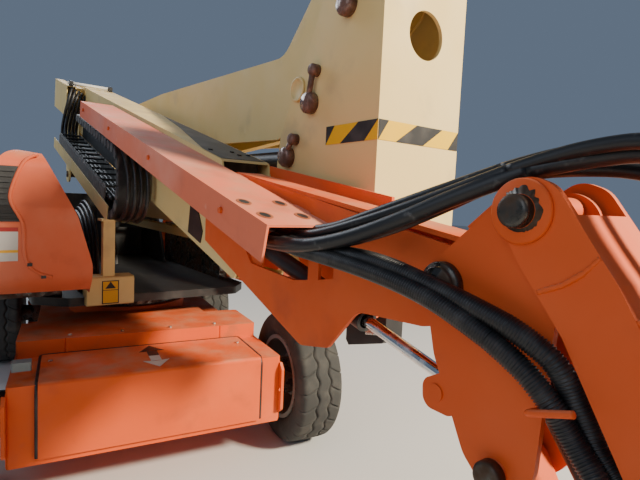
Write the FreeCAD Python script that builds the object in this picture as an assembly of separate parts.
import FreeCAD, Part
import math
import os

# Articulating boom lift with a folded tower, a telescopic boom and a short jib.
# Millimetres. Drawn with the slewing centre at the origin and moved at the end. +X points forwards, towards the
# platform, +Y to the machine's left and +Z up. The upper works lie along X. The chassis is
# turned a few degrees under them, as the machine was parked.

os.makedirs("parts", exist_ok=True)
V = FreeCAD.Vector

# Chassis
SLEW_PARK_DEG = 8.0
WHEELBASE = 2000.0
TRACK = 1592.0
TYRE_R = 360.0
TYRE_W = 245.0
RIM_R = 222.0
FRAME_Z0 = 300.0
FRONT_Z0 = 222.0
FRAME_Z1 = 600.0
SPINE_HALF = 360.0
END_X = 1250.0
END_HALF = 590.0
END_Z1 = 560.0
STEER_END_HALF = 395.0
COVER_DEPTH = 395.0
COVER_HALF = 478.0
COVER_T = 8.0
COVER_LIFT = 12.0
COVER_OUT = 16.0
EYE_OUT = 40.0
EYE_Y = 300.0
EYE_BORE = 12.0
DECK_HALF = 380.0
DECK_Z = 640.0
SIDE_BOX_Z = 680.0
HUB_R = 120.0
KINGPIN_Y = 598.0
KINGPIN_R = 26.0

# Upper works
RING_R = 330.0
RING_Z0 = 660.0
BED_Z0 = 745.0
BED_T = 45.0
BED_X0 = -1420.0
BED_X1 = 600.0
BED_HALF = 610.0
HOOD_HINGE_Z = 1494.0
HOOD_WIDE = 860.0
HOOD_TOP = 1530.0
HOOD_THICK = 7.0
HOOD_LEAN_Y = {-1: 388.0, 1: 472.0}
HOOD_LEAN = 212.0
HOOD_WALL_X = 520.0
HOOD_HINGES = (-640.0, 400.0)
PACK_TOP_RIGHT = 1180.0
PACK_TOP_LEFT = 1120.0
TOWER_Y0 = 80.0
TOWER_Y1 = 430.0
PLATE = 12.0
GAP = 8.0
PIN_FIT = 0.08
LOWER_PIVOT = (-1150.0, 1290.0)
LOWER_LEN = 3100.0
LOWER_DEPTH = 200.0
LOWER_W = 200.0
LOWER_LINK = (110.0, -170.0)
LINK_DEPTH = 56.0
LINK_W = 60.0
MAST_FRONT = 2325.0
MAST_TOP = 2200.0
UPPER_PIVOT = (2150.0, 2080.0)
REAR_PIVOT = (-1230.0, 1900.0)
REAR_BACK = -1600.0
UPPER_LINK = (-170.0, -400.0)
UPPER_W = 240.0
TOWER_CYL = (1836.0, 1504.0)
TOWER_LUG = (450.0, 1524.0)

# Main boom. Its own frame runs along it (s) and square to it (t), from its rear pivot.
BOOM_DEG = 14.5
BOOM_PIVOT = (-1450.0, 2122.0)
BASE_Y0 = -134.0
BASE_Y1 = 60.0
BASE_HALF = 185.0
BASE_WALL = 6.0
BASE_END = 3254.0
BASE_CHIN = 3500.0
FLY_SIDE = 22.0
FLY_HALF = 122.0
FLY_S0 = 900.0
FLY_S1 = 3500.0
LIFT_FOOT = (-1500.0, 1500.0)
LIFT_HEAD = (900.0, -262.0)
TRAY_Y0 = -342.0
TRAY_Y1 = -166.0
TRAY_S0 = 1690.0
TRAY_S1 = 3986.0
TRAY_H = 88.0
TRAY_T = 6.0
RAIL_Y0 = -300.0
RAIL_H = 80.0
RAIL_T = -265.0
CHAIN_R = 195.0
CHAIN_BEND = 2300.0

# Nose, jib and platform
NOSE_Y0 = -150.0
NOSE_T = 10.0
JIB_Y = -100.0
NOSE_TONGUE = 92.0
LEVEL_PIVOT = (2796.0, 1210.0)
JIB_UPPER = (2950.0, 1350.0)
JIB_LOWER = (2925.0, 920.0)
JIB_LEN = 900.0
JIB_DEG = 60.0
JIB_CYL = (2908.0, 1150.0)
JIB_CYL_AT = (720.0, -75.0)
SLAVE_FOOT = (2020.0, 1200.0)
SLAVE_HEAD = (2795.0, 1010.0)
LEVEL_PLATE = 12.0
LEVEL_W = 136.0
FORK_W = 176.0
ROTATOR_OUT = 160.0
ROTATOR_X = JIB_UPPER[0] + JIB_LEN * math.cos(math.radians(JIB_DEG)) + ROTATOR_OUT
ROTATOR_R = 70.0
CAGE_X0 = ROTATOR_X + 170.0
CAGE_X1 = CAGE_X0 + 760.0
CAGE_HALF = 915.0
CAGE_FLOOR = 250.0
CAGE_TOP = 1350.0
CAGE_TUBE = 16.0
RAIL_THINNER = 2.0
GATE_TUBE = 13.0
GATE_Z0 = 300.0


def unit(du, dv):
    length = math.hypot(du, dv)
    return du / length, dv / length


def outline(points, place):
    """A closed wire through (u, v) points, a third value rounding that corner with an arc."""
    count = len(points)
    corners = []
    for i in range(count):
        u, v = points[i][0], points[i][1]
        r = points[i][2] if len(points[i]) > 2 else 0.0
        if r == 0.0:
            corners.append(((u, v), None, (u, v)))
            continue
        back = unit(points[i - 1][0] - u, points[i - 1][1] - v)
        ahead = unit(points[(i + 1) % count][0] - u, points[(i + 1) % count][1] - v)
        half = 0.5 * math.acos(max(-1.0, min(1.0, back[0] * ahead[0] + back[1] * ahead[1])))
        reach = r / math.tan(half)
        middle = unit(back[0] + ahead[0], back[1] + ahead[1])
        inset = r / math.sin(half) - r
        corners.append((
            (u + back[0] * reach, v + back[1] * reach),
            (u + middle[0] * inset, v + middle[1] * inset),
            (u + ahead[0] * reach, v + ahead[1] * reach),
        ))
    edges = []
    for i in range(count):
        start, mid, end = corners[i]
        following = corners[(i + 1) % count][0]
        if mid is not None:
            edges.append(Part.Arc(place(*start), place(*mid), place(*end)).toShape())
        if math.dist(end, following) > 1e-6:
            edges.append(Part.LineSegment(place(*end), place(*following)).toShape())
    return Part.Wire(edges)


def slab_xz(points, y0, y1):
    """An outline in X and Z, carried from y0 to y1."""
    wire = outline(points, lambda u, v: V(u, y0, v))
    return Part.Face(wire).extrude(V(0, y1 - y0, 0))


def slab_yz(points, x0, x1):
    """An outline in Y and Z, carried from x0 to x1."""
    wire = outline(points, lambda u, v: V(x0, u, v))
    return Part.Face(wire).extrude(V(x1 - x0, 0, 0))


def slab_xy(points, z0, z1):
    """An outline in X and Y, carried from z0 to z1."""
    wire = outline(points, lambda u, v: V(u, v, z0))
    return Part.Face(wire).extrude(V(0, 0, z1 - z0))


def block(x0, x1, y0, y1, z0, z1):
    return Part.makeBox(x1 - x0, y1 - y0, z1 - z0, V(x0, y0, z0))


def round_y(at, r, y0, y1):
    """A round bar along Y at (x, z)."""
    return Part.makeCylinder(r, y1 - y0, V(at[0], y0, at[1]), V(0, 1, 0))


def rod(a, b, r):
    """A round bar from point a to point b."""
    return Part.makeCylinder(r, (b - a).Length, a, b - a)


def join(*solids):
    shape = solids[0]
    for other in solids[1:]:
        shape = shape.fuse(other)
    return shape.removeSplitter()


def apart(*solids):
    """Like pieces that don't touch, kept in one node."""
    return Part.makeCompound(list(solids))


PIECES = {}


def write(node, shape):
    """Keep a piece until the whole machine is there."""
    PIECES[node] = shape


def export():
    """Move the origin to the middle of the machine's footprint and write each piece."""
    box = FreeCAD.BoundBox()
    for shape in PIECES.values():
        box.add(shape.optimalBoundingBox(False))
    move = V(-box.Center.x, -box.Center.y, -box.ZMin)
    print("origin moved by", round(move.x, 4), round(move.y, 4), round(move.z, 4))
    for node, shape in PIECES.items():
        shape.translate(move)
        shape.exportStep("parts/" + node + ".step")


def boom(s, t):
    """A point of the main boom's frame, as (x, z)."""
    angle = math.radians(BOOM_DEG)
    x = BOOM_PIVOT[0] + s * math.cos(angle) + t * math.sin(angle)
    z = BOOM_PIVOT[1] - s * math.sin(angle) + t * math.cos(angle)
    return x, z


def boom_slab(points, y0, y1):
    """An outline in the boom's own (s, t), with corner radii, carried from y0 to y1."""
    return slab_xz([boom(p[0], p[1]) + tuple(p[2:]) for p in points], y0, y1)


def boom_box(s0, s1, t0, t1, y0, y1):
    return boom_slab([(s0, t0), (s1, t0), (s1, t1), (s0, t1)], y0, y1)


def jib(s, n):
    """A point along the jib (s) and square to it, forwards (n), from its upper pin, as (x, z)."""
    angle = math.radians(JIB_DEG)
    x = JIB_UPPER[0] + s * math.cos(angle) + n * math.sin(angle)
    z = JIB_UPPER[1] - s * math.sin(angle) + n * math.cos(angle)
    return x, z


def from_park(shape):
    """Turns a chassis piece, modelled square, to its parked angle under the upper works."""
    shape.rotate(V(0, 0, 0), V(0, 0, 1), -SLEW_PARK_DEG)
    return shape


def bar_link(a, b, depth, y0, y1, pin_r):
    """A straight link with round ends and two bores, between (x, z) points a and b."""
    dx, dz = unit(b[0] - a[0], b[1] - a[1])
    half = 0.5 * depth
    side = (-dz * half, dx * half)
    body = slab_xz([
        (a[0] + side[0], a[1] + side[1]), (b[0] + side[0], b[1] + side[1]),
        (b[0] - side[0], b[1] - side[1]), (a[0] - side[0], a[1] - side[1]),
    ], y0, y1)
    link = join(body, round_y(a, half, y0, y1), round_y(b, half, y0, y1))
    for at in (a, b):
        link = link.cut(round_y(at, pin_r, y0, y1))
    return link


def barrel(a, b, r, length, eye_r, pin_r, eye_w, y, bore_r):
    """A cylinder's barrel: an eye at a, a tube towards b and a gland at its open end."""
    dx, dz = unit(b[0] - a[0], b[1] - a[1])
    start = V(a[0] + dx * eye_r * 0.8, y, a[1] + dz * eye_r * 0.8)
    end = V(a[0] + dx * length, y, a[1] + dz * length)
    gland = V(a[0] + dx * (length - 2.2 * r), y, a[1] + dz * (length - 2.2 * r))
    bottom = V(a[0] + dx * (eye_r + 12.0), y, a[1] + dz * (eye_r + 12.0))
    eye = round_y(a, eye_r, y - eye_w / 2, y + eye_w / 2)
    shape = join(rod(start, end, r), rod(gland, end, r * 1.12), eye)
    shape = shape.cut(rod(bottom, end + (end - bottom) * 0.01, bore_r))
    return shape.cut(round_y(a, pin_r, y - eye_w, y + eye_w))


def piston(a, b, barrel_length, r, eye_r, pin_r, eye_w, y, bore_r, inside):
    """A cylinder's rod: an eye at b, a bar back into the barrel and its piston."""
    dx, dz = unit(b[0] - a[0], b[1] - a[1])
    head = barrel_length - inside
    start = V(a[0] + dx * head, y, a[1] + dz * head)
    crown = V(a[0] + dx * (head + 30.0), y, a[1] + dz * (head + 30.0))
    end = V(b[0] - dx * eye_r * 0.8, y, b[1] - dz * eye_r * 0.8)
    eye = round_y(b, eye_r, y - eye_w / 2, y + eye_w / 2)
    shape = join(rod(start, end, r), rod(start, crown, bore_r - 0.3), eye)
    return shape.cut(round_y(b, pin_r, y - eye_w, y + eye_w))


# Chassis, modelled square and then turned

def chassis_frame():
    spine = block(-END_X, END_X, -SPINE_HALF, SPINE_HALF, FRAME_Z0, FRAME_Z1 - 40.0)
    front = slab_xy([
        (650.0, -END_HALF, 30.0), (END_X, -END_HALF, 12.0),
        (END_X, END_HALF, 12.0), (650.0, END_HALF, 30.0),
    ], FRONT_Z0, END_Z1)
    steer_end = block(-END_X, -700.0, -STEER_END_HALF, STEER_END_HALF, FRAME_Z0 - 20.0, END_Z1)
    middle = slab_xy([
        (-620.0, -SPINE_HALF, 0.0), (-420.0, -520.0, 60.0), (480.0, -520.0, 60.0),
        (650.0, -SPINE_HALF, 0.0), (650.0, SPINE_HALF, 0.0), (480.0, 520.0, 60.0),
        (-420.0, 520.0, 60.0), (-620.0, SPINE_HALF, 0.0),
    ], FRAME_Z0 + 20.0, FRAME_Z1)
    deck = slab_xy([
        (330.0, -DECK_HALF, 0.0), (END_X - COVER_DEPTH + 20.0, -DECK_HALF, 14.0),
        (END_X - COVER_DEPTH + 20.0, DECK_HALF, 14.0), (330.0, DECK_HALF, 0.0),
    ], END_Z1 - 20.0, DECK_Z)
    frame = join(spine, front, steer_end, middle, deck)
    for side in (-1, 1):
        y0, y1 = sorted((side * (DECK_HALF - 4.0), side * (END_HALF - 6.0)))
        raised = slab_xy([
            (520.0, y0, 12.0), (END_X - COVER_DEPTH + 20.0, y0, 12.0),
            (END_X - COVER_DEPTH + 20.0, y1, 12.0), (520.0, y1, 12.0),
        ], END_Z1 - 20.0, SIDE_BOX_Z - 40.0)
        frame = join(frame, raised)
        plate_y = side * (END_HALF + 4.0)
        lug = slab_xz([
            (END_X - 6.0, FRONT_Z0 + 40.0, 8.0), (END_X + 34.0, FRONT_Z0 + 70.0, 16.0),
            (END_X + 34.0, END_Z1 - 60.0, 16.0), (END_X - 6.0, END_Z1 - 20.0, 8.0),
        ], plate_y - 10.0, plate_y + 4.0)
        loop = round_y((END_X + 12.0, 0.5 * (FRONT_Z0 + END_Z1)), 12.0, plate_y - 20.0, plate_y + 20.0)
        frame = join(frame, lug.cut(loop))
        c0, c1 = sorted((side * (END_HALF - 30.0), side * (END_HALF + 2.0)))
        frame = join(frame, block(END_X - 40.0, END_X - 6.0, c0, c1, FRONT_Z0 + 6.0, END_Z1 - 30.0))
        ear = slab_xy([
            (-END_X - EYE_OUT - 34.0, side * EYE_Y - 34.0, 30.0), (-END_X + 60.0, side * EYE_Y - 34.0),
            (-END_X + 60.0, side * EYE_Y + 34.0), (-END_X - EYE_OUT - 34.0, side * EYE_Y + 34.0, 30.0),
        ], FRAME_Z0 - 38.0, FRAME_Z0 - 18.0)
        eye = Part.makeCylinder(EYE_BORE, 60.0, V(-END_X - EYE_OUT, side * EYE_Y, FRAME_Z0 - 60.0))
        frame = join(frame, ear.cut(eye))
    pedestal = Part.makeCylinder(RING_R + 30.0, RING_Z0 - FRAME_Z1 + 30.0, V(0, 0, FRAME_Z1 - 30.0))
    return from_park(join(frame, pedestal))


def end_cover(sign, half, low):
    """The bent cover that closes one end of the chassis: a top and a front face in one sheet."""
    x_out = END_X + COVER_OUT
    x_in = END_X - COVER_DEPTH + 30.0
    top = END_Z1 + COVER_LIFT
    sheet = slab_xz([
        (x_in, top, 0.0), (x_out, top, 16.0), (x_out, low, 0.0),
        (x_out - COVER_T, low, 0.0), (x_out - COVER_T, top - COVER_T, 8.0),
        (x_in, top - COVER_T, 0.0),
    ], -half, half)
    ribs = []
    for y in (-half + 6.0, half - 14.0):
        ribs.append(block(END_X + 0.3, x_out - 2.0, y, y + 8.0, low + 10.0, END_Z1))
        ribs.append(block(x_in + 6.0, END_X - 20.0, y, y + 8.0, END_Z1 + 0.3, top - 2.0))
    shape = join(sheet, *ribs)
    if sign < 0:
        shape = shape.mirror(V(0, 0, 0), V(1, 0, 0))
    return from_park(shape)


def drive_axle():
    """Two wheel-drive hubs, bolted to the sides of the front end."""
    hubs = []
    for side in (-1, 1):
        inner = side * (END_HALF + 0.3)
        outer = side * (0.5 * TRACK - 34.0)
        y0, y1 = sorted((inner, outer))
        flange_y = side * (END_HALF + 14.0)
        f0, f1 = sorted((inner, flange_y))
        body = Part.makeCylinder(HUB_R - 20.0, y1 - y0, V(0.5 * WHEELBASE, y0, TYRE_R), V(0, 1, 0))
        flange = Part.makeCylinder(HUB_R + 16.0, f1 - f0, V(0.5 * WHEELBASE, f0, TYRE_R), V(0, 1, 0))
        hubs.append(join(body, flange.common(block(0, 2000, -900, 900, FRONT_Z0 + 2.0, END_Z1))))
    return from_park(apart(*hubs))


def steer_axle():
    x = -0.5 * WHEELBASE
    beam = block(x - 60.0, x + 60.0, -KINGPIN_Y + 40.0, KINGPIN_Y - 40.0, FRAME_Z0 - 60.0, FRAME_Z0 - 20.3)
    web = block(x - 30.0, x + 30.0, -STEER_END_HALF, STEER_END_HALF, FRAME_Z0 - 90.0, FRAME_Z0 - 55.0)
    shape = join(beam, web)
    for side in (-1, 1):
        for z in (TYRE_R - 95.0, TYRE_R + 70.0):
            boss = Part.makeCylinder(48.0, 25.0, V(x, side * KINGPIN_Y, z))
            shape = join(shape, boss)
        back = side * (KINGPIN_Y - 62.0)
        y0, y1 = sorted((back - side * 22.0, back))
        cheek = block(x - 46.0, x + 46.0, y0, y1, FRAME_Z0 - 60.0, TYRE_R + 95.0)
        arms = []
        for z in (TYRE_R - 95.0, TYRE_R + 70.0):
            a0, a1 = sorted((back - side * 4.0, side * KINGPIN_Y))
            arms.append(block(x - 40.0, x + 40.0, a0, a1, z, z + 25.0))
        shape = join(shape, cheek, *arms)
        shape = shape.cut(Part.makeCylinder(KINGPIN_R + PIN_FIT, 260.0, V(x, side * KINGPIN_Y, 230.0)))
    return from_park(shape)


def knuckle(side):
    x = -0.5 * WHEELBASE
    y = side * KINGPIN_Y
    pin = Part.makeCylinder(KINGPIN_R, 190.0, V(x, y, TYRE_R - 95.0))
    body = Part.makeCylinder(44.0, 138.0, V(x, y, TYRE_R - 69.0))
    y0, y1 = sorted((y, side * (0.5 * TRACK - 34.0)))
    hub = Part.makeCylinder(62.0, y1 - y0, V(x, y0, TYRE_R), V(0, 1, 0))
    arm = block(x - 150.0, x, y - 14.0, y + 14.0, TYRE_R - 66.0, TYRE_R - 46.0)
    eye = Part.makeCylinder(22.0, 20.0, V(x - 150.0, y, TYRE_R - 66.0))
    return from_park(join(pin, body, hub, arm, eye))


WHEELS = {
    "front_right": (0.5 * WHEELBASE, -1),
    "front_left": (0.5 * WHEELBASE, 1),
    "rear_right": (-0.5 * WHEELBASE, -1),
    "rear_left": (-0.5 * WHEELBASE, 1),
}


def revolve_y(points, x, y, z, side):
    """Turns an outline of (distance outwards, radius) about a wheel's axle."""
    wire = outline(points, lambda u, v: V(x, y + side * u, z + v))
    return Part.Face(wire).revolve(V(x, y, z), V(0, 1, 0), 360)


def tyre(x, side):
    half = 0.5 * TYRE_W
    points = [
        (-half + 22.0, RIM_R + 1.0), (half - 22.0, RIM_R + 1.0), (half, RIM_R + 46.0, 20.0),
        (half - 4.0, TYRE_R - 34.0, 26.0), (half - 26.0, TYRE_R, 14.0),
        (-half + 26.0, TYRE_R, 14.0), (-half + 4.0, TYRE_R - 34.0, 26.0), (-half, RIM_R + 46.0, 20.0),
    ]
    return from_park(revolve_y(points, x, side * 0.5 * TRACK, TYRE_R, side))


def rim(x, side):
    half = 0.5 * TYRE_W - 12.0
    disc = 30.0
    points = [
        (-half, RIM_R - 14.0), (-half, RIM_R + 8.0), (-half + 6.0, RIM_R + 8.0), (-half + 10.0, RIM_R),
        (half - 10.0, RIM_R), (half - 6.0, RIM_R + 8.0), (half, RIM_R + 8.0), (half, RIM_R - 14.0),
        (half - 30.0, RIM_R - 18.0), (disc + 14.0, RIM_R - 40.0), (disc + 26.0, 150.0, 14.0),
        (disc, 118.0, 14.0), (disc, 0.0), (-33.7, 0.0), (-33.7, 118.0),
        (disc - 14.0, 128.0, 10.0), (disc + 8.0, 156.0, 12.0), (disc, RIM_R - 30.0, 6.0),
    ]
    dish = revolve_y(points, x, side * 0.5 * TRACK, TYRE_R, side)
    return from_park(dish)


# Turntable

def slew_ring():
    ring = Part.makeCylinder(RING_R, BED_Z0 - RING_Z0 - 0.6, V(0, 0, RING_Z0 + 0.3))
    return ring.cut(Part.makeCylinder(RING_R - 60.0, 200.0, V(0, 0, RING_Z0)))


def turntable_bed():
    plate = slab_xy([
        (BED_X0, -BED_HALF, 60.0), (BED_X1 - 130.0, -BED_HALF, 40.0), (BED_X1, -450.0, 40.0),
        (BED_X1, 500.0, 40.0), (BED_X1 - 130.0, BED_HALF, 40.0), (BED_X0, BED_HALF, 60.0),
    ], BED_Z0, BED_Z0 + BED_T)
    shape = plate
    for y in (TOWER_Y0 - 24.0, TOWER_Y1 + 4.0):
        web = slab_xz([
            (-1330.0, BED_Z0 + 20.0), (-620.0, BED_Z0 + 20.0), (-700.0, 960.0, 60.0),
            (-960.0, 1330.0, 60.0), (-1060.0, 1370.0, 40.0), (-1240.0, 1370.0, 60.0),
            (-1330.0, 1200.0, 60.0),
        ], y, y + 20.0)
        shape = join(shape, web)
    link_at = (LOWER_PIVOT[0] + LOWER_LINK[0], LOWER_PIVOT[1] + LOWER_LINK[1])
    cross = block(-1300.0, -1276.0, TOWER_Y0 - 10.0, TOWER_Y1 + 10.0, BED_Z0 + 20.0, 1040.0)
    pins = [
        round_y(LOWER_PIVOT, 32.0, TOWER_Y0 - 34.0, TOWER_Y1 + 34.0),
        round_y(link_at, 20.0, TOWER_Y0 - 34.0, TOWER_Y1 + 34.0),
    ]
    return join(shape, cross, *pins)


def counterweight():
    body = slab_xy([
        (-1700.0, -560.0, 160.0), (-1425.0, -620.0, 40.0), (-1425.0, 620.0, 40.0),
        (-1700.0, 560.0, 160.0),
    ], BED_Z0 - 10.0, 1330.0)
    foot = block(-1426.0, -1340.0, -440.0, 440.0, BED_Z0 + BED_T + 0.3, BED_Z0 + BED_T + 90.0)
    return join(body, foot)


def power_pack():
    """The battery boxes and the pump, plain blocks behind the hoods."""
    return apart(
        block(-860.0, 500.0, -790.0, -470.0, BED_Z0 + BED_T + 0.3, PACK_TOP_RIGHT),
        block(-860.0, 300.0, 520.0, 780.0, BED_Z0 + BED_T + 0.3, PACK_TOP_LEFT),
    )


def hood_top_y(side):
    """How far out the cover's inner edge has leaned where it reaches the top."""
    return HOOD_LEAN_Y[side] + HOOD_LEAN


def hood(side):
    """A moulded cover: outer wall, domed top and rounded front, open inwards and below."""
    low_y = HOOD_LEAN_Y[side]
    top_y = hood_top_y(side)
    wide = HOOD_WIDE
    top = HOOD_TOP

    def shell(grow, x0, x1, lower):
        open_by = 30.0 if grow else 0.0
        section = [
            (side * (low_y - open_by), lower), (side * (wide - grow), lower),
            (side * (wide - grow), 1180.0 - grow, 220.0),
            (side * (0.5 * (wide + top_y) + 20.0), top - grow, 90.0),
            (side * (top_y - open_by), top - 20.0 - grow), (side * (low_y + 70.0 - open_by), 1230.0),
            (side * (low_y - open_by), 1000.0),
        ]
        raw = slab_yz(section, x0, x1)
        trim = slab_xz([
            (x0 - 10.0, lower + 65.0), (BED_X1 + 6.0, lower + 65.0), (BED_X1 + 16.0, lower - 10.0),
            (690.0 - grow, lower - 10.0), (858.0 - grow, 930.0, 120.0),
            (905.0 - grow, 1270.0, 60.0), (872.0 - grow, top - 20.0, 90.0), (470.0 - grow, top + 50.0 - grow, 200.0),
            (-400.0, top + 80.0 - grow, 300.0), (x0 + 60.0 + grow, top - 60.0 - grow, 160.0),
            (x0 + grow, 1180.0, 160.0),
            (x0 + grow, lower + 65.0),
        ], -1000.0, 1000.0)
        wedge = slab_yz([
            (side * (low_y - grow), 700.0), (side * (low_y + grow), 1000.0, 200.0),
            (side * (low_y + 70.0 + grow), 1230.0, 200.0), (side * (top_y + 3.0 + grow), top + 20.0),
            (0.0, top + 60.0), (0.0, 700.0),
        ], HOOD_WALL_X, 1000.0)
        return raw.common(trim).cut(wedge)

    outer = shell(0.0, -900.0, 950.0, 765.0)
    inner = shell(HOOD_THICK, -900.0, 950.0, 740.0)
    shape = outer.cut(inner)
    axis_y = side * (top_y - 18.0)
    for x in HOOD_HINGES:
        loop = Part.makeCylinder(18.0, 70.0, V(x, axis_y, HOOD_HINGE_Z), V(1, 0, 0))
        y0, y1 = sorted((axis_y, side * (top_y + 30.0)))
        strap = block(x, x + 70.0, y0, y1, HOOD_HINGE_Z - 18.0, HOOD_HINGE_Z - 10.0)
        riser = block(x, x + 70.0, y1 - 8.0 if side > 0 else y0, y1 if side > 0 else y0 + 8.0,
                      HOOD_HINGE_Z - 18.0, HOOD_HINGE_Z + 19.0)
        shape = join(shape, loop, strap, riser)
        shape = shape.cut(Part.makeCylinder(12.0 + PIN_FIT, 90.0, V(x - 10.0, axis_y, HOOD_HINGE_Z), V(1, 0, 0)))
    return shape


def hood_frames():
    """A rail along each hood's hinge, on three posts from the power pack's boxes."""
    frames = []
    for side, box_top in ((-1, PACK_TOP_RIGHT), (1, PACK_TOP_LEFT)):
        y = side * (hood_top_y(side) - 18.0)
        rail = Part.makeCylinder(12.0, 1190.0, V(-700.0, y, HOOD_HINGE_Z), V(1, 0, 0))
        posts = [block(x, x + 26.0, y - 6.0, y + 6.0, box_top + 0.3, HOOD_HINGE_Z) for x in (-700.0, -100.0, 250.0)]
        frames.append(join(rail, *posts))
    return apart(*frames)


def boom_rest():
    """A post on a box at the bed's front edge, with the pad that takes the power track's rail."""
    y0, y1 = -378.0, -142.0
    box = slab_xz([
        (BED_X1 - 50.0, BED_Z0 + BED_T + 0.3), (BED_X1 + 0.3, BED_Z0 + BED_T + 0.3), (BED_X1 + 0.3, BED_Z0 + 7.0),
        (BED_X1 + 66.0, BED_Z0 + 7.0, 10.0), (BED_X1 + 66.0, 905.0, 14.0), (BED_X1 - 50.0, 905.0, 0.0),
    ], y0, y1)
    post = block(BED_X1, BED_X1 + 50.0, -298.0, -240.0, 900.0, 1203.0)
    pad = block(BED_X1 - 25.0, BED_X1 + 75.0, -312.0, -212.0, 1200.0, 1212.0)
    return join(box, post, pad)


def control_station():
    body = slab_yz([
        (-620.0, 830.0, 10.0), (-500.0, 830.0, 10.0), (-500.0, 1130.0, 10.0), (-620.0, 1130.0, 10.0),
    ], -1180.0, -960.0)
    foot = block(-1150.0, -990.0, -600.0, -520.0, BED_Z0 + BED_T + 0.3, 834.0)
    return join(body, foot)


# Tower

def lower_riser():
    a = LOWER_PIVOT
    b = (a[0] + LOWER_LEN, a[1])
    half = 0.5 * LOWER_DEPTH
    y0 = 0.5 * (TOWER_Y0 + TOWER_Y1 - LOWER_W)
    y1 = y0 + LOWER_W
    body = slab_xz([
        (a[0] - 40.0, a[1] - 60.0, 40.0), (a[0] + 260.0, a[1] - half, 120.0),
        (b[0] - 260.0, b[1] - half, 120.0), (b[0] + 40.0, b[1] - 60.0, 40.0),
        (b[0] + 40.0, b[1] + 60.0, 40.0), (b[0] - 260.0, b[1] + half, 120.0),
        (a[0] + 260.0, a[1] + half, 120.0), (a[0] - 40.0, a[1] + 60.0, 40.0),
    ], y0, y1)
    shape = body
    ends = ((a, TOWER_Y0 - 4.0 + GAP, TOWER_Y1 + 4.0 - GAP), (b, TOWER_Y0 + PLATE + GAP, TOWER_Y1 - PLATE - GAP))
    for at, e0, e1 in ends:
        shape = join(shape, round_y(at, 58.0, e0, e1))
    for at, e0, e1 in ends:
        shape = shape.cut(round_y(at, 32.0 + PIN_FIT, e0, e1))
    return shape


def lower_link():
    a = (LOWER_PIVOT[0] + LOWER_LINK[0], LOWER_PIVOT[1] + LOWER_LINK[1])
    b = (a[0] + LOWER_LEN, a[1])
    y0 = 0.5 * (TOWER_Y0 + TOWER_Y1 - LINK_W)
    return bar_link(a, b, LINK_DEPTH, y0, y0 + LINK_W, 20.0 + PIN_FIT)


def mid_upright():
    mast_low = (LOWER_PIVOT[0] + LOWER_LEN, LOWER_PIVOT[1])
    link_at = (mast_low[0] + LOWER_LINK[0], mast_low[1] + LOWER_LINK[1])
    side_plate = [
        (MAST_FRONT, MAST_TOP, 20.0), (2210.0, MAST_TOP, 40.0), (2090.0, 2110.0, 60.0),
        (1790.0, 1590.0, 60.0), (1765.0, 1450.0, 40.0), (1880.0, 1420.0, 60.0),
        (1850.0, 1210.0, 60.0), (1960.0, 1050.0, 60.0), (2120.0, 1030.0, 60.0),
        (MAST_FRONT, 1260.0, 60.0),
    ]
    shapes = [
        slab_xz(side_plate, TOWER_Y0, TOWER_Y0 + PLATE),
        slab_xz(side_plate, TOWER_Y1 - PLATE, TOWER_Y1),
        block(MAST_FRONT - PLATE, MAST_FRONT, TOWER_Y0 + 6.0, TOWER_Y1 - 6.0, 1290.0, MAST_TOP - 26.0),
        block(2230.0, MAST_FRONT - 30.0, TOWER_Y0 + 6.0, TOWER_Y1 - 6.0, MAST_TOP - 40.0, MAST_TOP - 28.0),
    ]
    shape = join(*shapes)
    mid_y = 0.5 * (TOWER_Y0 + TOWER_Y1)
    hole = Part.makeCylinder(72.0, 60.0, V(MAST_FRONT - 40.0, mid_y, 1862.0), V(1, 0, 0))
    shape = shape.cut(hole)
    upper_link_at = (UPPER_PIVOT[0] + UPPER_LINK[0], UPPER_PIVOT[1] + UPPER_LINK[1])
    pins = ((mast_low, 32.0), (link_at, 20.0), (UPPER_PIVOT, 32.0), (upper_link_at, 22.0), (TOWER_CYL, 26.0))
    for at, r in pins:
        shape = shape.cut(round_y(at, r, TOWER_Y0 - 10.0, TOWER_Y1 + 10.0))
    return shape


def mid_upright_pins():
    mast_low = (LOWER_PIVOT[0] + LOWER_LEN, LOWER_PIVOT[1])
    link_at = (mast_low[0] + LOWER_LINK[0], mast_low[1] + LOWER_LINK[1])
    upper_link_at = (UPPER_PIVOT[0] + UPPER_LINK[0], UPPER_PIVOT[1] + UPPER_LINK[1])
    pins = ((mast_low, 32.0), (link_at, 20.0), (UPPER_PIVOT, 32.0), (upper_link_at, 22.0), (TOWER_CYL, 26.0))
    return apart(*[round_y(at, r, TOWER_Y0 - 14.0, TOWER_Y1 + 14.0) for at, r in pins])


def riser_point(s, t):
    """A point along the upper riser, from the mast's pin to the rear pin, as (x, z)."""
    dx, dz = unit(REAR_PIVOT[0] - UPPER_PIVOT[0], REAR_PIVOT[1] - UPPER_PIVOT[1])
    return UPPER_PIVOT[0] + dx * s + dz * t, UPPER_PIVOT[1] + dz * s - dx * t


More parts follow.
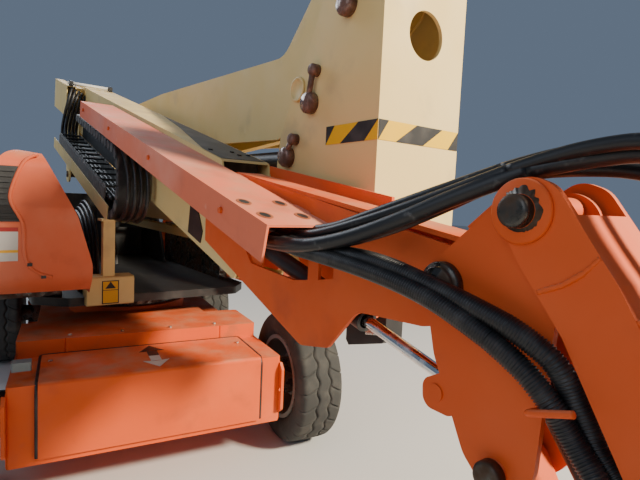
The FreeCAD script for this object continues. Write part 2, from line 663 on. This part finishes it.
def upper_riser():
    """An inverted channel: two side plates and a top, open below for the link and the cylinder."""
    length = math.dist(UPPER_PIVOT, REAR_PIVOT)
    y0 = 0.5 * (TOWER_Y0 + TOWER_Y1 - UPPER_W)
    y1 = y0 + UPPER_W
    top = 1900.0
    cheek = [
        (UPPER_PIVOT[0] + 60.0, 2150.0, 60.0), (1960.0, 2150.0, 60.0), (1700.0, top + 6.0, 120.0),
        (200.0, 1992.0, 400.0), (REAR_PIVOT[0] + 160.0, 2010.0, 80.0),
        (REAR_PIVOT[0] - 60.0, 1960.0, 60.0), (REAR_PIVOT[0] - 60.0, 1840.0, 60.0),
        (REAR_PIVOT[0] + 240.0, 1700.0, 80.0), (1690.0, 1590.0, 80.0),
        (UPPER_PIVOT[0] + 60.0, 1990.0, 70.0),
    ]
    shapes = [slab_xz(cheek, y0, y0 + 8.0), slab_xz(cheek, y1 - 8.0, y1)]
    roof = slab_xz([
        (UPPER_PIVOT[0] - 40.0, 2150.0), (1960.0, 2150.0, 60.0), (1700.0, top + 6.0, 120.0),
        (200.0, 1992.0, 400.0), (REAR_PIVOT[0] + 160.0, 2010.0, 80.0), (REAR_PIVOT[0] + 40.0, 1983.0),
        (REAR_PIVOT[0] + 43.0, 1975.0), (REAR_PIVOT[0] + 160.0, 2002.0, 72.0),
        (200.0, 1984.0, 392.0), (1702.0, top - 2.0, 112.0), (1962.0, 2142.0, 52.0),
        (UPPER_PIVOT[0] - 40.0, 2142.0),
    ], y0 + 4.0, y1 - 4.0)
    shape = join(*shapes, roof)
    for at in (UPPER_PIVOT, REAR_PIVOT):
        shape = join(shape, round_y(at, 56.0, TOWER_Y0 + PLATE + GAP, TOWER_Y1 - PLATE - GAP))
    lug = [
        (TOWER_LUG[0] - 130.0, 1760.0), (TOWER_LUG[0] - 52.0, TOWER_LUG[1] - 20.0, 40.0),
        (TOWER_LUG[0], TOWER_LUG[1] - 52.0, 30.0), (TOWER_LUG[0] + 52.0, TOWER_LUG[1] - 20.0, 40.0),
        (TOWER_LUG[0] + 130.0, 1760.0),
    ]
    for y in (y0 + 8.0 - 1.0, y0 + 8.0 + 82.0):
        shape = join(shape, slab_xz(lug, y, y + 14.0))
    tie = block(TOWER_LUG[0] - 90.0, TOWER_LUG[0] + 90.0, y0 + 4.0, y1 - 4.0, 1740.0, 1760.0)
    shape = join(shape, tie)
    for at in (UPPER_PIVOT, REAR_PIVOT):
        shape = shape.cut(round_y(at, 32.0 + PIN_FIT, TOWER_Y0, TOWER_Y1))
    return join(shape, round_y(TOWER_LUG, 24.0, y0 - 6.0, y0 + 20.0), round_y(TOWER_LUG, 24.0, y0 + 91.0, y0 + 114.0))


def upper_link():
    a = (UPPER_PIVOT[0] + UPPER_LINK[0], UPPER_PIVOT[1] + UPPER_LINK[1])
    b = (REAR_PIVOT[0] + UPPER_LINK[0], REAR_PIVOT[1] + UPPER_LINK[1])
    y1 = 0.5 * (TOWER_Y0 + TOWER_Y1 + UPPER_W) - 8.0 - 20.0
    return bar_link(a, b, 56.0, y1 - 50.0, y1, 22.0 + PIN_FIT)


def rear_upright():
    """The welded block at the back: tower plates on the left, boom plates on the right."""
    link_at = (REAR_PIVOT[0] + UPPER_LINK[0], REAR_PIVOT[1] + UPPER_LINK[1])
    tower_plate = [
        (-1150.0, 1990.0, 60.0), (-1500.0, 2220.0, 60.0), (REAR_BACK, 2160.0, 60.0),
        (REAR_BACK, 1430.0, 60.0), (-1340.0, 1410.0, 60.0), (-1150.0, 1800.0, 80.0),
    ]
    boom_plate = [
        (-1360.0, 2200.0, 70.0), (-1500.0, 2240.0, 60.0), (REAR_BACK, 2160.0, 60.0),
        (REAR_BACK, 1430.0, 60.0), (-1430.0, 1430.0, 60.0), (-1425.0, 1760.0, 80.0),
        (-1375.0, 2040.0, 60.0),
    ]
    right0 = BASE_Y0 - GAP - PLATE
    shapes = [
        slab_xz(tower_plate, TOWER_Y0, TOWER_Y0 + PLATE),
        slab_xz(tower_plate, TOWER_Y1 - PLATE, TOWER_Y1),
        slab_xz(boom_plate, right0, right0 + PLATE),
        block(REAR_BACK, REAR_BACK + 15.0, right0 + 4.0, TOWER_Y1 - 4.0, 1500.0, 2120.0),
    ]
    shape = join(*shapes)
    pins = (
        (REAR_PIVOT, 32.0, TOWER_Y0, TOWER_Y1),
        (link_at, 22.0, TOWER_Y0, TOWER_Y1),
        (BOOM_PIVOT, 34.0, right0, TOWER_Y0 + PLATE),
        (LIFT_FOOT, 28.0, right0, TOWER_Y0 + PLATE),
    )
    for at, r, y0, y1 in pins:
        shape = shape.cut(round_y(at, r, y0, y1))
    return shape


def rear_upright_pins():
    link_at = (REAR_PIVOT[0] + UPPER_LINK[0], REAR_PIVOT[1] + UPPER_LINK[1])
    right0 = BASE_Y0 - GAP - PLATE
    return apart(
        round_y(REAR_PIVOT, 32.0, TOWER_Y0 - 12.0, TOWER_Y1 + 12.0),
        round_y(link_at, 22.0, TOWER_Y0 - 12.0, TOWER_Y1 + 12.0),
        round_y(BOOM_PIVOT, 34.0, right0 - 12.0, TOWER_Y0 + PLATE + 12.0),
        round_y(LIFT_FOOT, 28.0, right0 - 12.0, TOWER_Y0 + PLATE + 12.0),
    )


# Main boom

def base_boom():
    outer = boom_slab([
        (-60.0, -80.0, 40.0), (260.0, -BASE_HALF, 60.0), (BASE_CHIN, -BASE_HALF, 20.0),
        (BASE_END, BASE_HALF, 20.0), (260.0, BASE_HALF, 60.0), (-60.0, 80.0, 40.0),
    ], BASE_Y0, BASE_Y1)
    inner = boom_box(300.0, BASE_CHIN + 50.0, -BASE_HALF + BASE_WALL, BASE_HALF - BASE_WALL,
                     BASE_Y0 + BASE_WALL, BASE_Y1 - BASE_WALL)
    shape = outer.cut(inner)
    mid_y = 0.5 * (BASE_Y0 + BASE_Y1)
    head = boom(*LIFT_HEAD)
    for y in (mid_y - 45.0 - 14.0, mid_y + 45.0):
        lug = boom_slab([
            (LIFT_HEAD[0] - 150.0, -BASE_HALF + 3.0), (LIFT_HEAD[0] - 56.0, LIFT_HEAD[1] - 20.0, 40.0),
            (LIFT_HEAD[0], LIFT_HEAD[1] - 56.0, 30.0), (LIFT_HEAD[0] + 56.0, LIFT_HEAD[1] - 20.0, 40.0),
            (LIFT_HEAD[0] + 150.0, -BASE_HALF + 3.0),
        ], y, y + 14.0)
        shape = join(shape, lug)
    shape = join(shape, round_y(BOOM_PIVOT, 70.0, BASE_Y0, BASE_Y1))
    shape = shape.cut(round_y(BOOM_PIVOT, 34.0 + PIN_FIT, BASE_Y0 - 1.0, BASE_Y1 + 1.0))
    carrier = boom_box(-40.0, 600.0, -50.0, 182.0, BASE_Y0 - 128.0, BASE_Y0 - 62.0)
    carrier = carrier.cut(boom_box(-34.0, 610.0, -60.0, 176.0, BASE_Y0 - 122.0, BASE_Y0 - 68.0))
    standoff = boom_box(340.0, 560.0, 100.0, 170.0, BASE_Y0 - 64.0, BASE_Y0 + 2.0)
    shape = join(shape, carrier, standoff)
    return join(shape, round_y(head, 28.0, mid_y - 66.0, mid_y - 46.0), round_y(head, 28.0, mid_y + 46.0, mid_y + 66.0))


def wear_pads():
    """The blocks that carry the fly section inside the base section's front end."""
    pads = []
    for t0, t1 in ((-BASE_HALF + BASE_WALL + 0.3, -FLY_HALF - 0.3), (FLY_HALF + 0.3, BASE_HALF - BASE_WALL - 0.3)):
        for s in (BASE_END - 620.0, BASE_END - 140.0):
            pads.append(boom_box(s, s + 110.0, t0, t1, BASE_Y0 + 30.0, BASE_Y1 - 30.0))
    return apart(*pads)


def fly_boom():
    y0 = BASE_Y0 + FLY_SIDE
    y1 = BASE_Y1 - FLY_SIDE
    tube = boom_box(FLY_S0, FLY_S1, -FLY_HALF, FLY_HALF, y0, y1)
    hollow = boom_box(FLY_S0 - 10.0, FLY_S1 + 10.0, -FLY_HALF + 6.0, FLY_HALF - 6.0, y0 + 6.0, y1 - 6.0)
    return tube.cut(hollow)


def nose_outline():
    px, pz = LEVEL_PIVOT
    return [
        (1652.0, 1189.0, 0.0), (2316.0, 967.0, 60.0), (2436.0, 992.0, 20.0), (2540.0, 1105.0, 60.0),
        (px - 60.0, pz - 92.0, 60.0), (px + 62.0, pz - 60.0, 60.0), (px + 62.0, pz + 60.0, 50.0),
        (1905.0, 1436.0, 0.0), (1652.0, 1370.0, 60.0),
    ]


def fly_nose():
    """The fabricated head of the fly section: a long left plate, a stepped right one, a top strip."""
    px, pz = LEVEL_PIVOT
    tube_y0 = BASE_Y0 + FLY_SIDE
    tube_y1 = BASE_Y1 - FLY_SIDE
    tongue1 = NOSE_Y0 + NOSE_TONGUE
    left = slab_xz(nose_outline(), NOSE_Y0, NOSE_Y0 + NOSE_T)
    for window in (
        [(1975.0, 1275.0, 12.0), (1975.0, 1196.0, 20.0), (2022.0, 1149.0, 20.0), (2269.0, 1135.0, 30.0),
         (2338.0, 1146.0), (2338.0, 1275.0, 12.0)],
        [(2384.0, 1275.0, 12.0), (2384.0, 1154.0), (2446.0, 1166.0), (2446.0, 1275.0, 12.0)],
    ):
        left = left.cut(slab_xz(window, NOSE_Y0 - 5.0, NOSE_Y0 + NOSE_T + 5.0))
    wall_x = 2440.0
    right = slab_xz([
        (2060.0, 1090.0, 20.0), (2316.0, 1000.0, 60.0), (wall_x, 1010.0), (wall_x, 1372.0),
        (1790.0, 1474.0, 0.0), (1792.0, 1448.0, 0.0),
    ], tube_y1, tube_y1 + NOSE_T)
    tongue = slab_xz([
        (wall_x + 60.0, 1075.0, 0.0), (2540.0, 1105.0, 60.0), (px - 60.0, pz - 92.0, 60.0),
        (px + 62.0, pz - 60.0, 60.0), (px + 62.0, pz + 60.0, 50.0), (wall_x + 60.0, 1344.0),
    ], tongue1 - NOSE_T, tongue1)
    joggle = slab_xy([
        (wall_x - 12.0, tube_y1 + NOSE_T), (wall_x - 12.0, tube_y1), (wall_x + 58.0, tongue1 - NOSE_T),
        (wall_x + 72.0, tongue1 - NOSE_T), (wall_x + 72.0, tongue1), (wall_x + 2.0, tube_y1 + NOSE_T),
    ], 1075.0, 1344.0)
    strip = slab_xz([
        (1905.0, 1436.0), (px + 34.0, 1296.0), (px + 33.0, 1286.0), (1904.0, 1426.0),
    ], NOSE_Y0 + 2.0, tongue1 - 2.0)
    deck = slab_xz([
        (1880.0, 1426.0), (wall_x, 1340.0), (wall_x - 2.0, 1332.0), (1878.0, 1418.0),
    ], tongue1 - 12.0, tube_y1 + 2.0)
    side_tie = boom_box(FLY_S1 - 60.0, FLY_S1 - 4.0, -60.0, 60.0, NOSE_Y0 + 2.0, tube_y0 - 0.3)
    bearing = round_y(LEVEL_PIVOT, 52.0, NOSE_Y0, tongue1)
    shape = join(left, right, tongue, joggle, strip, deck, side_tie, bearing)
    for y in (NOSE_Y0 + NOSE_T - 1.0, tongue1 - NOSE_T - 9.0):
        lug = slab_xz([
            (1960.0, 1130.0, 20.0), (2075.0, 1130.0, 20.0), (2075.0, 1300.0, 20.0), (1960.0, 1300.0, 20.0),
        ], y, y + 10.0)
        shape = join(shape, lug)
    shape = shape.cut(round_y(LEVEL_PIVOT, 30.0 + PIN_FIT, NOSE_Y0 - 10.0, tongue1 + 10.0))
    shape = shape.cut(round_y(SLAVE_FOOT, 18.0, NOSE_Y0 + 10.0, tongue1))
    return join(shape, round_y(SLAVE_FOOT, 18.0, NOSE_Y0 + 6.0, tongue1 - 6.0))


def hose_tray():
    """The folded trough that runs beside the boom and carries the hoses, open along its bottom."""
    top = boom_box(TRAY_S0, TRAY_S1, 178.0 - TRAY_T, 178.0, TRAY_Y0, TRAY_Y1)
    left = boom_box(TRAY_S0, TRAY_S1, 178.0 - TRAY_H, 178.0, TRAY_Y0, TRAY_Y0 + TRAY_T)
    shape = join(top, left)
    for s, y in ((TRAY_S1 - 182.0, TRAY_Y0 + 32.0), (TRAY_S1 - 182.0, TRAY_Y1 - 40.0),
                 (TRAY_S1 - 70.0, TRAY_Y0 + 32.0), (TRAY_S1 - 70.0, TRAY_Y1 - 40.0)):
        x, z = boom(s, 178.0)
        angle = math.radians(BOOM_DEG)
        axis = V(math.sin(angle), 0, math.cos(angle))
        shape = shape.cut(Part.makeCylinder(9.0, 60.0, V(x, y, z) - axis * 30.0, axis))
    for s in (3440.0, 3800.0):
        bracket = boom_box(s, s + 70.0, 110.0, 178.0 - 3.0, TRAY_Y1 - TRAY_T, NOSE_Y0 - 0.3)
        shape = join(shape, bracket)
    return shape


def track_rail():
    """The angle that the power track lies in, on brackets from the base section."""
    s0, s1 = 320.0, 2330.0
    t1 = RAIL_T
    side = boom_box(s0, s1, t1 - RAIL_H, t1, RAIL_Y0, RAIL_Y0 + 6.0)
    floor = boom_box(s0, s1, t1 - RAIL_H, t1 - RAIL_H + 6.0, RAIL_Y0, RAIL_Y0 + 150.0)
    shape = join(side, floor)
    for s in (420.0, 1250.0, 2100.0):
        arm = boom_box(s, s + 60.0, t1 - RAIL_H - 8.0, t1 - RAIL_H + 2.0, RAIL_Y0 + 20.0, BASE_Y0 - 0.3)
        hanger = boom_box(s, s + 60.0, t1 - RAIL_H - 8.0, -100.0, BASE_Y0 - 10.3, BASE_Y0 - 0.3)
        shape = join(shape, arm, hanger)
    return shape


def power_track():
    """The folded cable chain: a lower run in the rail, a bend and an upper run, as one solid."""
    low = RAIL_T - RAIL_H + 6.5
    r = CHAIN_R
    h = 44.0
    y0, y1 = RAIL_Y0 + 10.0, RAIL_Y0 + 149.0
    s_bend = CHAIN_BEND
    lower = boom_box(500.0, s_bend, low, low + h, y0, y1)
    cx, cz = boom(s_bend, low + r)
    ring = round_y((cx, cz), r, y0, y1).cut(round_y((cx, cz), r - h, y0, y1))
    ring = ring.common(boom_box(s_bend, s_bend + 300.0, low - 10.0, low + 2 * r + 10.0, y0, y1))
    upper = boom_box(1250.0, s_bend, low + 2 * r - h, low + 2 * r, y0, y1)
    return join(lower, ring, upper)


# Jib and platform

def level_plate_outline():
    px, pz = LEVEL_PIVOT
    ux, uz = JIB_UPPER
    lx, lz = JIB_LOWER
    return [
        (px - 50.0, pz + 20.0, 40.0), (ux - 60.0, uz + 8.0, 60.0), (ux + 20.0, uz + 60.0, 56.0),
        (ux + 62.0, uz - 30.0, 50.0), (lx + 66.0, lz + 20.0, 60.0), (lx + 10.0, lz - 62.0, 58.0),
        (lx - 64.0, lz + 6.0, 56.0), (px - 12.0, pz - 130.0, 80.0),
    ]


def jib_base():
    """The levelled head: two profiled plates on a cross box, with lugs for the level cylinder."""
    y0 = JIB_Y - 0.5 * LEVEL_W
    y1 = JIB_Y + 0.5 * LEVEL_W
    shape = join(
        slab_xz(level_plate_outline(), y0, y0 + LEVEL_PLATE),
        slab_xz(level_plate_outline(), y1 - LEVEL_PLATE, y1),
    )
    web = slab_xz([(2846.0, 1312.0), (2890.0, 1350.0), (2882.0, 1358.0), (2838.0, 1320.0)], y0 + 2.0, y1 - 2.0)
    shape = join(shape, web, round_y((2900.0, 985.0), 12.0, y0 + 2.0, y1 - 2.0))
    sx, sz = SLAVE_HEAD
    head_lug = [
        (sx - 34.0, sz + 16.0, 24.0), (sx - 30.0, sz - 34.0, 24.0), (sx + 30.0, sz - 34.0, 24.0),
        (sx + 92.0, sz + 0.0), (sx + 60.0, sz + 70.0),
    ]
    for y in (y0, y1 - LEVEL_PLATE):
        shape = join(shape, slab_xz(head_lug, y, y + LEVEL_PLATE), round_y(SLAVE_HEAD, 16.0, y - 3.0, y + LEVEL_PLATE + 3.0))
    return shape


def jib_base_pins():
    y0 = JIB_Y - 0.5 * LEVEL_W
    y1 = JIB_Y + 0.5 * LEVEL_W
    reach = 0.5 * FORK_W + 8.0
    return [
        round_y(LEVEL_PIVOT, 30.0, y0 - 6.0, y1 + 6.0),
        round_y(JIB_UPPER, 26.0, JIB_Y - reach, JIB_Y + reach),
        round_y(JIB_LOWER, 24.0, y0 - 6.0, y1 + 6.0),
        round_y(JIB_CYL, 18.0, y0 + 0.5, y1 - 0.5),
    ]


def jib_upper_arm():
    """A fork outside the head's plates, running into a box beam."""
    y0 = JIB_Y - 0.5 * FORK_W
    y1 = JIB_Y + 0.5 * FORK_W
    cheek = [jib(*p[:2]) + tuple(p[2:]) for p in (
        (-42.0, -42.0, 40.0), (60.0, -40.0, 60.0), (190.0, -22.0, 20.0), (250.0, -22.0),
        (250.0, 78.0), (150.0, 78.0, 30.0), (-10.0, 62.0, 50.0), (-48.0, 30.0, 44.0),
    )]
    shape = join(slab_xz(cheek, y0, y0 + 12.0), slab_xz(cheek, y1 - 12.0, y1))
    beam = slab_xz([jib(190.0, -22.0), jib(JIB_LEN - 110.0, -22.0), jib(JIB_LEN - 110.0, 78.0), jib(190.0, 78.0)],
                   y0, y1)
    tip0, tip1 = JIB_Y - 0.5 * LEVEL_W + 20.0, JIB_Y + 0.5 * LEVEL_W - 20.0
    tip = slab_xz([
        jib(JIB_LEN - 115.0, -22.0), jib(JIB_LEN + 30.0, -40.0) + (36.0,), jib(JIB_LEN + 44.0, 20.0) + (36.0,),
        jib(JIB_LEN, 48.0) + (36.0,), jib(JIB_LEN - 115.0, 78.0),
    ], tip0, tip1)
    shape = join(shape, beam, tip)
    s, n = JIB_CYL_AT
    lug_at = jib(s, n)
    for y in (JIB_Y - 37.0, JIB_Y + 25.0):
        lug = slab_xz([
            jib(s - 80.0, -20.0), jib(s - 30.0, n - 22.0) + (20.0,),
            jib(s + 30.0, n - 22.0) + (20.0,), jib(s + 80.0, -20.0),
        ], y, y + 12.0)
        shape = join(shape, lug, round_y(lug_at, 16.0, y - 3.0, y + 15.0))
    shape = shape.cut(round_y(JIB_UPPER, 26.0 + PIN_FIT, y0 - 5.0, y1 + 5.0))
    return shape.cut(round_y(jib(JIB_LEN, 0.0), 24.0 + PIN_FIT, tip0 - 5.0, tip1 + 5.0))


def jib_lower_arm():
    a = JIB_LOWER
    end = jib(JIB_LEN, 0.0)
    b = (end[0] + JIB_LOWER[0] - JIB_UPPER[0], end[1] + JIB_LOWER[1] - JIB_UPPER[1])
    return bar_link(a, b, 66.0, JIB_Y - 44.0, JIB_Y + 44.0, 24.0 + PIN_FIT)


def platform_support():
    """Two plates that carry the jib's end pins, and the upright tube of the platform rotator."""
    top = jib(JIB_LEN, 0.0)
    low = (top[0] + JIB_LOWER[0] - JIB_UPPER[0], top[1] + JIB_LOWER[1] - JIB_UPPER[1])
    y0 = JIB_Y - 0.5 * LEVEL_W
    y1 = JIB_Y + 0.5 * LEVEL_W
    plate = [
        (top[0] - 46.0, top[1] - 10.0, 40.0), (top[0] - 6.0, top[1] + 50.0, 44.0),
        (ROTATOR_X - 30.0, top[1] + 40.0, 20.0), (ROTATOR_X - 30.0, low[1] + 40.0, 20.0),
        (low[0] + 20.0, low[1] - 48.0, 40.0), (low[0] - 46.0, low[1], 44.0),
    ]
    shape = join(slab_xz(plate, y0, y0 + 12.0), slab_xz(plate, y1 - 12.0, y1))
    post = Part.makeCylinder(ROTATOR_R, top[1] + 60.0 - low[1] - 30.0, V(ROTATOR_X, JIB_Y, low[1] + 30.0))
    return join(shape, post, round_y(top, 24.0, y0 - 8.0, y1 + 8.0), round_y(low, 24.0, y0 - 8.0, y1 + 8.0))


def platform_bracket():
    """The sleeve that turns on the rotator and the beam under the cage."""
    z0 = jib(JIB_LEN, 0.0)[1] + 60.5
    cap = Part.makeCylinder(ROTATOR_R, 60.0, V(ROTATOR_X, JIB_Y, z0))
    neck = block(ROTATOR_X, CAGE_X0 - 40.0, JIB_Y - 60.0, JIB_Y + 60.0, z0, z0 + 60.0)
    plate = block(CAGE_X0 - 60.0, CAGE_X0 - 24.0, JIB_Y - 160.0, JIB_Y + 160.0, CAGE_FLOOR - 60.0, z0 + 60.0)
    beam = block(CAGE_X0 - 60.0, CAGE_X1 - 160.0, JIB_Y - 50.0, JIB_Y + 50.0, CAGE_FLOOR - 60.0, CAGE_FLOOR - 10.3)
    return join(cap, neck, plate, beam)


def cage_floor():
    return slab_xy([
        (CAGE_X0, JIB_Y - CAGE_HALF, 40.0), (CAGE_X1, JIB_Y - CAGE_HALF, 40.0),
        (CAGE_X1, JIB_Y + CAGE_HALF, 40.0), (CAGE_X0, JIB_Y + CAGE_HALF, 40.0),
    ], CAGE_FLOOR - 10.0, CAGE_FLOOR + 4.0)


def platform_cage():
    """Tube rails at two heights between round posts. The gate's gap is at the left."""
    r = CAGE_TUBE
    rail_r = r - RAIL_THINNER
    x0, x1 = CAGE_X0 + r, CAGE_X1 - r
    y0, y1 = JIB_Y - CAGE_HALF + r, JIB_Y + CAGE_HALF - r
    post_z0 = CAGE_FLOOR + 4.3
    posts = [(x0, y0), (x1, y0), (x0, y1), (x1, y1), (x0, JIB_Y - 300.0), (x0, JIB_Y + 300.0),
             (x1, JIB_Y - 300.0), (x1, JIB_Y + 300.0), (0.5 * (x0 + x1), y0)]
    solids = []
    for x, y in posts:
        solids.append(Part.makeCylinder(r, CAGE_TOP - post_z0, V(x, y, post_z0)))
    for z in (CAGE_TOP - r, 0.5 * (CAGE_TOP + CAGE_FLOOR)):
        solids.append(rod(V(x0, y0, z), V(x1, y0, z), rail_r))
        solids.append(rod(V(x0, y0, z), V(x0, y1, z), rail_r))
        solids.append(rod(V(x1, y0, z), V(x1, y1, z), rail_r))
    step = block(x0, x0 + 46.0, y1 - 14.0, y1 + 14.0, GATE_Z0 - 14.0, GATE_Z0 - 0.4)
    return join(*solids, step)


def gate():
    """A framed gate whose hinge post turns on a step of the cage's corner post."""
    r = GATE_TUBE
    y = JIB_Y + CAGE_HALF - CAGE_TUBE
    x0 = CAGE_X0 + 2 * CAGE_TUBE + 0.6 + r
    x1 = CAGE_X1 - 2 * CAGE_TUBE - 6.0 - r
    z1 = CAGE_TOP - 2 * CAGE_TUBE
    solids = [rod(V(x0, y, z), V(x1, y, z), r) for z in (GATE_Z0 + r, 0.5 * (GATE_Z0 + z1), z1 - r)]
    solids += [rod(V(x, y, GATE_Z0), V(x, y, z1), r) for x in (x0, x1)]
    return join(*solids)


def control_box():
    body = slab_xz([
        (CAGE_X0 + 44.0, CAGE_TOP - 190.0, 10.0), (CAGE_X0 + 210.0, CAGE_TOP - 190.0, 10.0),
        (CAGE_X0 + 210.0, CAGE_TOP - 60.0, 10.0), (CAGE_X0 + 44.0, CAGE_TOP - 10.0, 10.0),
    ], JIB_Y - 190.0, JIB_Y + 190.0)
    hook = block(CAGE_X0 + 2 * CAGE_TUBE - RAIL_THINNER + 0.3, CAGE_X0 + 46.0, JIB_Y - 150.0, JIB_Y + 150.0,
                 CAGE_TOP - 60.0, CAGE_TOP - 12.0)
    return join(body, hook)


# Cylinders: where each one's barrel and rod are pinned, and their sizes
MAIN_Y = 0.5 * (BASE_Y0 + BASE_Y1)
TOWER_CYL_Y = 0.5 * (TOWER_Y0 + TOWER_Y1 - UPPER_W) + 8.0 + 48.0
CYLINDERS = {
    # name: (barrel eye, rod eye, barrel radius, barrel length, rod radius, eye radius,
    #        barrel pin radius, rod pin radius, eye width, y, bore radius, rod inside)
    "tower_cylinder": (TOWER_CYL, TOWER_LUG, 45.0, 1180.0, 24.0, 42.0, 26.0, 24.0, 60.0, TOWER_CYL_Y, 36.0, 1050.0),
    "lift_cylinder": (LIFT_FOOT, None, 50.0, 760.0, 28.0, 46.0, 28.0, 28.0, 80.0, MAIN_Y, 40.0, 660.0),
    "level_cylinder": (SLAVE_FOOT, SLAVE_HEAD, 26.0, 520.0, 14.0, 27.0, 18.0, 16.0, 46.0, -104.0, 20.0, 200.0),
    "jib_cylinder": (JIB_CYL, None, 30.0, 480.0, 17.0, 30.0, 18.0, 16.0, 44.0, JIB_Y, 23.0, 400.0),
}


def cylinder_ends(name):
    row = CYLINDERS[name]
    foot, head = row[0], row[1]
    if name == "lift_cylinder":
        head = boom(*LIFT_HEAD)
    if name == "jib_cylinder":
        head = jib(*JIB_CYL_AT)
    return foot, head


def write_cylinders():
    for name in CYLINDERS:
        foot, head = cylinder_ends(name)
        _, _, r, length, rod_r, eye_r, foot_pin, head_pin, eye_w, y, bore_r, inside = CYLINDERS[name]
        write(name + "_barrel", barrel(foot, head, r, length, eye_r, foot_pin + PIN_FIT, eye_w, y, bore_r))
        write(name + "_rod", piston(foot, head, length, rod_r, eye_r, head_pin + PIN_FIT, eye_w, y, bore_r, inside))


def build():
    write("chassis_frame", chassis_frame())
    write("end_covers", apart(end_cover(1, COVER_HALF, FRONT_Z0 + 28.0),
                                end_cover(-1, STEER_END_HALF - 20.0, FRAME_Z0 - 10.0)))
    write("drive_hubs", drive_axle())
    write("steer_axle", steer_axle())
    for label, side in (("right", -1), ("left", 1)):
        write("steering_knuckle_" + label, knuckle(side))
        write("hood_" + label, hood(side))
    for label, (x, side) in WHEELS.items():
        write("tyre_" + label, tyre(x, side))
        write("rim_" + label, rim(x, side))
    write("slew_ring", slew_ring())
    write("turntable_bed", turntable_bed())
    write("counterweight", counterweight())
    write("power_pack", power_pack())
    write("hood_frames", hood_frames())
    write("boom_rest", boom_rest())
    write("control_station", control_station())
    write("lower_riser", lower_riser())
    write("lower_link", lower_link())
    write("mid_upright", mid_upright())
    write("mid_upright_pins", mid_upright_pins())
    write("upper_riser", upper_riser())
    write("upper_link", upper_link())
    write("rear_upright", rear_upright())
    write("rear_upright_pins", rear_upright_pins())
    write("base_boom", base_boom())
    write("wear_pads", wear_pads())
    write("track_rail", track_rail())
    write("power_track", power_track())
    write("fly_boom", fly_boom())
    write("fly_nose", fly_nose())
    write("hose_tray", hose_tray())
    write("jib_base", join(jib_base(), *jib_base_pins()))
    write("jib_upper_arm", jib_upper_arm())
    write("jib_lower_arm", jib_lower_arm())
    write("platform_support", platform_support())
    write("platform_bracket", platform_bracket())
    write("platform_floor", cage_floor())
    write("platform_cage", platform_cage())
    write("platform_gate", gate())
    write("control_box", control_box())
    write_cylinders()


build()
export()
